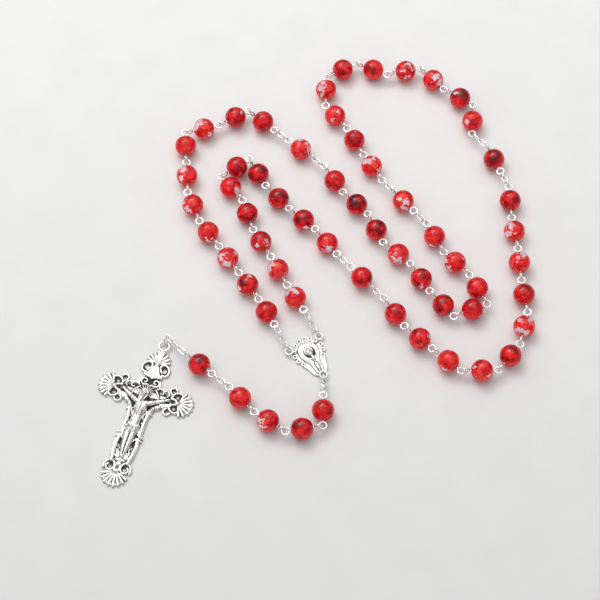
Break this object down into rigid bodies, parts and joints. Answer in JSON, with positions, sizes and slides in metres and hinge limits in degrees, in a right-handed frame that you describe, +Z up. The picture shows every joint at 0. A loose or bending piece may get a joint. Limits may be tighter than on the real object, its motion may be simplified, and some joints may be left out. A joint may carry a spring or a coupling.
{
  "type": "rosary",
  "caption": "Rosary of round marbled red beads on silver eye pins, hinged link by link, with an oval centre medal and a filigree crucifix, laid out on a table.",
  "frame": {"origin": "on the table, under the middle of the centre medal's flat back", "axes": "+Z up from the table; +Y away from the viewer; +X to the viewer's right"},
  "size_m": [0.1567, 0.1769, 0.0078],
  "materials": {
    "bead_red": "glossy, marbled red with white and dark patches",
    "silver": "silver-plated casting and wire, dark in its recesses"
  },
  "bodies": {
    "centre_medal": {"centre_medal": "silver"},
    "bead_01": {"bead_01": "bead_red"},
    "bead_02": {"bead_02": "bead_red"},
    "bead_03": {"bead_03": "bead_red"},
    "bead_04": {"bead_04": "bead_red"},
    "bead_05": {"bead_05": "bead_red"},
    "bead_06": {"bead_06": "bead_red"},
    "bead_07": {"bead_07": "bead_red"},
    "bead_08": {"bead_08": "bead_red"},
    "bead_09": {"bead_09": "bead_red"},
    "bead_10": {"bead_10": "bead_red"},
    "bead_11": {"bead_11": "bead_red"},
    "bead_12": {"bead_12": "bead_red"},
    "bead_13": {"bead_13": "bead_red"},
    "bead_14": {"bead_14": "bead_red"},
    "bead_15": {"bead_15": "bead_red"},
    "bead_16": {"bead_16": "bead_red"},
    "bead_17": {"bead_17": "bead_red"},
    "bead_18": {"bead_18": "bead_red"},
    "bead_19": {"bead_19": "bead_red"},
    "bead_20": {"bead_20": "bead_red"},
    "bead_21": {"bead_21": "bead_red"},
    "bead_22": {"bead_22": "bead_red"},
    "bead_23": {"bead_23": "bead_red"},
    "bead_24": {"bead_24": "bead_red"},
    "bead_25": {"bead_25": "bead_red"},
    "bead_26": {"bead_26": "bead_red"},
    "bead_27": {"bead_27": "bead_red"},
    "bead_28": {"bead_28": "bead_red"},
    "bead_29": {"bead_29": "bead_red"},
    "bead_30": {"bead_30": "bead_red"},
    "bead_31": {"bead_31": "bead_red"},
    "bead_32": {"bead_32": "bead_red"},
    "bead_33": {"bead_33": "bead_red"},
    "bead_34": {"bead_34": "bead_red"},
    "bead_35": {"bead_35": "bead_red"},
    "bead_36_37": {"bead_36_37": "bead_red"},
    "bead_38": {"bead_38": "bead_red"},
    "bead_39": {"bead_39": "bead_red"},
    "bead_40": {"bead_40": "bead_red"},
    "bead_41": {"bead_41": "bead_red"},
    "bead_42": {"bead_42": "bead_red"},
    "bead_43": {"bead_43": "bead_red"},
    "bead_44": {"bead_44": "bead_red"},
    "bead_45": {"bead_45": "bead_red"},
    "bead_46": {"bead_46": "bead_red"},
    "bead_47": {"bead_47": "bead_red"},
    "bead_48": {"bead_48": "bead_red"},
    "bead_49": {"bead_49": "bead_red"},
    "bead_50": {"bead_50": "bead_red"},
    "bead_51": {"bead_51": "bead_red"},
    "bead_52": {"bead_52": "bead_red"},
    "bead_53": {"bead_53": "bead_red"},
    "bead_54": {"bead_54": "bead_red"},
    "pendant_bead_1": {"pendant_bead_1": "bead_red"},
    "pendant_bead_2": {"pendant_bead_2": "bead_red"},
    "pendant_bead_3": {"pendant_bead_3": "bead_red"},
    "pendant_bead_4": {"pendant_bead_4": "bead_red"},
    "pendant_bead_5": {"pendant_bead_5": "bead_red"},
    "crucifix": {"crucifix": "silver"}
  },
  "joints": [
    {"name": "bead_01_hinge", "type": "hinge", "parent": "centre_medal", "child": "bead_01", "pos_m": [-0.00785, 0.0013, 0.00148], "axis": [0.8722, 0.4892, 0], "range_deg": [-85, 85]},
    {"name": "bead_02_hinge", "type": "hinge", "parent": "bead_01", "child": "bead_02", "pos_m": [-0.01905, 0.02104, 0.004], "axis": [-0.829, -0.5593, 0], "range_deg": [-85, 85]},
    {"name": "bead_03_hinge", "type": "hinge", "parent": "bead_02", "child": "bead_03", "pos_m": [-0.02649, 0.03207, 0.004], "axis": [0.8309, 0.5564, 0], "range_deg": [-85, 85]},
    {"name": "bead_04_hinge", "type": "hinge", "parent": "bead_03", "child": "bead_04", "pos_m": [-0.03391, 0.04311, 0.004], "axis": [-0.8184, -0.5747, 0], "range_deg": [-85, 85]},
    {"name": "bead_05_hinge", "type": "hinge", "parent": "bead_04", "child": "bead_05", "pos_m": [-0.04127, 0.05414, 0.004], "axis": [0.9337, 0.3579, 0], "range_deg": [-85, 85]},
    {"name": "bead_06_hinge", "type": "hinge", "parent": "bead_05", "child": "bead_06", "pos_m": [-0.04565, 0.06664, 0.004], "axis": [-0.9979, -0.065, 0], "range_deg": [-85, 85]},
    {"name": "bead_07_hinge", "type": "hinge", "parent": "bead_06", "child": "bead_07", "pos_m": [-0.04652, 0.07991, 0.004], "axis": [0.9975, 0.0706, 0], "range_deg": [-85, 85]},
    {"name": "bead_08_hinge", "type": "hinge", "parent": "bead_07", "child": "bead_08", "pos_m": [-0.04611, 0.09223, 0.004], "axis": [-0.2639, 0.9645, 0], "range_deg": [-85, 85]},
    {"name": "bead_09_hinge", "type": "hinge", "parent": "bead_08", "child": "bead_09", "pos_m": [-0.03342, 0.09605, 0.004], "axis": [0.5034, -0.8641, 0], "range_deg": [-85, 85]},
    {"name": "bead_10_hinge", "type": "hinge", "parent": "bead_09", "child": "bead_10", "pos_m": [-0.02208, 0.10122, 0.004], "axis": [0.6671, 0.745, 0], "range_deg": [-85, 85]},
    {"name": "bead_11_hinge", "type": "hinge", "parent": "bead_10", "child": "bead_11", "pos_m": [-0.01215, 0.09237, 0.004], "axis": [-0.65, -0.76, 0], "range_deg": [-85, 85]},
    {"name": "bead_12_hinge", "type": "hinge", "parent": "bead_11", "child": "bead_12", "pos_m": [0.00661, 0.07579, 0.004], "axis": [0.8554, 0.518, 0], "range_deg": [-85, 85]},
    {"name": "bead_13_hinge", "type": "hinge", "parent": "bead_12", "child": "bead_13", "pos_m": [0.01372, 0.06459, 0.004], "axis": [-0.7225, -0.6914, 0], "range_deg": [-85, 85]},
    {"name": "bead_14_hinge", "type": "hinge", "parent": "bead_13", "child": "bead_14", "pos_m": [0.02255, 0.05473, 0.004], "axis": [0.9118, 0.4106, 0], "range_deg": [-85, 85]},
    {"name": "bead_15_hinge", "type": "hinge", "parent": "bead_14", "child": "bead_15", "pos_m": [0.02845, 0.04292, 0.004], "axis": [-0.6699, -0.7424, 0], "range_deg": [-85, 85]},
    {"name": "bead_16_hinge", "type": "hinge", "parent": "bead_15", "child": "bead_16", "pos_m": [0.03802, 0.03376, 0.004], "axis": [0.861, 0.5087, 0], "range_deg": [-85, 85]},
    {"name": "bead_17_hinge", "type": "hinge", "parent": "bead_16", "child": "bead_17", "pos_m": [0.04494, 0.02242, 0.004], "axis": [-0.7795, -0.6264, 0], "range_deg": [-85, 85]},
    {"name": "bead_18_hinge", "type": "hinge", "parent": "bead_17", "child": "bead_18", "pos_m": [0.05366, 0.01355, 0.004], "axis": [-0.3731, 0.9278, 0], "range_deg": [-85, 85]},
    {"name": "bead_19_hinge", "type": "hinge", "parent": "bead_18", "child": "bead_19", "pos_m": [0.06422, 0.01919, 0.004], "axis": [0.8998, 0.4363, 0], "range_deg": [-85, 85]},
    {"name": "bead_20_hinge", "type": "hinge", "parent": "bead_19", "child": "bead_20", "pos_m": [0.05809, 0.03093, 0.004], "axis": [-0.7229, -0.691, 0], "range_deg": [-85, 85]},
    {"name": "bead_21_hinge", "type": "hinge", "parent": "bead_20", "child": "bead_21", "pos_m": [0.04925, 0.04078, 0.004], "axis": [0.9065, 0.4221, 0], "range_deg": [-85, 85]},
    {"name": "bead_22_hinge", "type": "hinge", "parent": "bead_21", "child": "bead_22", "pos_m": [0.04333, 0.05264, 0.004], "axis": [-0.7558, -0.6548, 0], "range_deg": [-85, 85]},
    {"name": "bead_23_hinge", "type": "hinge", "parent": "bead_22", "child": "bead_23", "pos_m": [0.02708, 0.07175, 0.004], "axis": [0.8558, 0.5174, 0], "range_deg": [-85, 85]},
    {"name": "bead_24_hinge", "type": "hinge", "parent": "bead_23", "child": "bead_24", "pos_m": [0.02028, 0.08317, 0.004], "axis": [-0.8915, -0.4531, 0], "range_deg": [-85, 85]},
    {"name": "bead_25_hinge", "type": "hinge", "parent": "bead_24", "child": "bead_25", "pos_m": [0.01404, 0.0949, 0.004], "axis": [0.7887, 0.6148, 0], "range_deg": [-85, 85]},
    {"name": "bead_26_hinge", "type": "hinge", "parent": "bead_25", "child": "bead_26", "pos_m": [0.0067, 0.10566, 0.004], "axis": [-0.9997, 0.0231, 0], "range_deg": [-85, 85]},
    {"name": "bead_27_hinge", "type": "hinge", "parent": "bead_26", "child": "bead_27", "pos_m": [0.0081, 0.1183, 0.004], "axis": [0.4973, -0.8676, 0], "range_deg": [-85, 85]},
    {"name": "bead_28_hinge", "type": "hinge", "parent": "bead_27", "child": "bead_28", "pos_m": [0.0197, 0.12375, 0.004], "axis": [0.4016, 0.9158, 0], "range_deg": [-85, 85]},
    {"name": "bead_29_hinge", "type": "hinge", "parent": "bead_28", "child": "bead_29", "pos_m": [0.03196, 0.11923, 0.004], "axis": [0.2288, -0.9735, 0], "range_deg": [-85, 85]},
    {"name": "bead_30_hinge", "type": "hinge", "parent": "bead_29", "child": "bead_30", "pos_m": [0.04451, 0.12101, 0.004], "axis": [0.7437, 0.6685, 0], "range_deg": [-85, 85]},
    {"name": "bead_31_hinge", "type": "hinge", "parent": "bead_30", "child": "bead_31", "pos_m": [0.05362, 0.11137, 0.004], "axis": [-0.55, -0.8352, 0], "range_deg": [-85, 85]},
    {"name": "bead_32_hinge", "type": "hinge", "parent": "bead_31", "child": "bead_32", "pos_m": [0.06354, 0.10347, 0.004], "axis": [0.9974, -0.072, 0], "range_deg": [-85, 85]},
    {"name": "bead_54_hinge", "type": "hinge", "parent": "centre_medal", "child": "bead_54", "pos_m": [0.00291, 0.00739, 0.00148], "axis": [0.86, 0.5103, 0], "range_deg": [-85, 85]},
    {"name": "bead_53_hinge", "type": "hinge", "parent": "bead_54", "child": "bead_53", "pos_m": [-0.0086, 0.02695, 0.004], "axis": [-0.8896, -0.4568, 0], "range_deg": [-85, 85]},
    {"name": "bead_52_hinge", "type": "hinge", "parent": "bead_53", "child": "bead_52", "pos_m": [-0.01473, 0.03875, 0.004], "axis": [0.8663, 0.4995, 0], "range_deg": [-85, 85]},
    {"name": "bead_51_hinge", "type": "hinge", "parent": "bead_52", "child": "bead_51", "pos_m": [-0.02113, 0.05039, 0.004], "axis": [-0.952, -0.3061, 0], "range_deg": [-85, 85]},
    {"name": "bead_50_hinge", "type": "hinge", "parent": "bead_51", "child": "bead_50", "pos_m": [-0.02562, 0.06282, 0.004], "axis": [0.7774, 0.629, 0], "range_deg": [-85, 85]},
    {"name": "bead_49_hinge", "type": "hinge", "parent": "bead_50", "child": "bead_49", "pos_m": [-0.03212, 0.07293, 0.004], "axis": [-0.5989, 0.8009, 0], "range_deg": [-85, 85]},
    {"name": "bead_48_hinge", "type": "hinge", "parent": "bead_49", "child": "bead_48", "pos_m": [-0.0219, 0.07897, 0.004], "axis": [-0.8829, -0.4696, 0], "range_deg": [-85, 85]},
    {"name": "bead_47_hinge", "type": "hinge", "parent": "bead_48", "child": "bead_47", "pos_m": [-0.01541, 0.06739, 0.004], "axis": [0.7518, 0.6593, 0], "range_deg": [-85, 85]},
    {"name": "bead_46_hinge", "type": "hinge", "parent": "bead_47", "child": "bead_46", "pos_m": [-0.00654, 0.0575, 0.004], "axis": [-0.6707, -0.7418, 0], "range_deg": [-85, 85]},
    {"name": "bead_45_hinge", "type": "hinge", "parent": "bead_46", "child": "bead_45", "pos_m": [0.00314, 0.04841, 0.004], "axis": [0.8022, 0.597, 0], "range_deg": [-85, 85]},
    {"name": "bead_44_hinge", "type": "hinge", "parent": "bead_45", "child": "bead_44", "pos_m": [0.01119, 0.03783, 0.004], "axis": [-0.7332, -0.68, 0], "range_deg": [-85, 85]},
    {"name": "bead_43_hinge", "type": "hinge", "parent": "bead_44", "child": "bead_43", "pos_m": [0.02806, 0.01928, 0.004], "axis": [0.8485, 0.5292, 0], "range_deg": [-85, 85]},
    {"name": "bead_42_hinge", "type": "hinge", "parent": "bead_43", "child": "bead_42", "pos_m": [0.03537, 0.00821, 0.004], "axis": [-0.6791, -0.734, 0], "range_deg": [-85, 85]},
    {"name": "bead_41_hinge", "type": "hinge", "parent": "bead_42", "child": "bead_41", "pos_m": [0.04515, -0.00079, 0.004], "axis": [0.6574, 0.7535, 0], "range_deg": [-85, 85]},
    {"name": "bead_40_hinge", "type": "hinge", "parent": "bead_41", "child": "bead_40", "pos_m": [0.0555, -0.00867, 0.004], "axis": [0.0107, -0.9999, 0], "range_deg": [-85, 85]},
    {"name": "bead_39_hinge", "type": "hinge", "parent": "bead_40", "child": "bead_39", "pos_m": [0.06831, -0.00753, 0.004], "axis": [-0.7791, 0.6269, 0], "range_deg": [-85, 85]},
    {"name": "bead_38_hinge", "type": "hinge", "parent": "bead_39", "child": "bead_38", "pos_m": [0.07617, 0.00308, 0.004], "axis": [0.9657, -0.2598, 0], "range_deg": [-85, 85]},
    {"name": "bead_36_37_hinge", "type": "hinge", "parent": "bead_38", "child": "bead_36_37", "pos_m": [0.07914, 0.01596, 0.004], "axis": [-0.9937, -0.1124, 0], "range_deg": [-85, 85]},
    {"name": "bead_35_hinge", "type": "hinge", "parent": "bead_36_37", "child": "bead_35", "pos_m": [0.07717, 0.04246, 0.004], "axis": [0.9935, 0.114, 0], "range_deg": [-85, 85]},
    {"name": "bead_34_hinge", "type": "hinge", "parent": "bead_35", "child": "bead_34", "pos_m": [0.07577, 0.05569, 0.004], "axis": [-0.9997, -0.0252, 0], "range_deg": [-85, 85]},
    {"name": "bead_33_hinge", "type": "hinge", "parent": "bead_34", "child": "bead_33", "pos_m": [0.07497, 0.06889, 0.004], "axis": [0.927, 0.3752, 0], "range_deg": [-85, 85]},
    {"name": "pendant_bead_1_hinge", "type": "hinge", "parent": "centre_medal", "child": "pendant_bead_1", "pos_m": [0.0051, -0.01035, 0.00148], "axis": [-0.9998, 0.0185, 0], "range_deg": [-85, 85]},
    {"name": "pendant_bead_2_hinge", "type": "hinge", "parent": "pendant_bead_1", "child": "pendant_bead_2", "pos_m": [0.00345, -0.03017, 0.004], "axis": [0.1698, -0.9855, 0], "range_deg": [-85, 85]},
    {"name": "pendant_bead_3_hinge", "type": "hinge", "parent": "pendant_bead_2", "child": "pendant_bead_3", "pos_m": [-0.00945, -0.03148, 0.004], "axis": [0.5552, 0.8317, 0], "range_deg": [-85, 85]},
    {"name": "pendant_bead_4_hinge", "type": "hinge", "parent": "pendant_bead_3", "child": "pendant_bead_4", "pos_m": [-0.02032, -0.02387, 0.004], "axis": [-0.734, -0.6791, 0], "range_deg": [-85, 85]},
    {"name": "pendant_bead_5_hinge", "type": "hinge", "parent": "pendant_bead_4", "child": "pendant_bead_5", "pos_m": [-0.02947, -0.01424, 0.004], "axis": [0.6321, 0.7749, 0], "range_deg": [-85, 85]},
    {"name": "crucifix_hinge", "type": "hinge", "parent": "pendant_bead_5", "child": "crucifix", "pos_m": [-0.05175, 0.00394, 0.00148], "axis": [0.9531, -0.3028, 0], "range_deg": [-30, 85]}
  ]
}
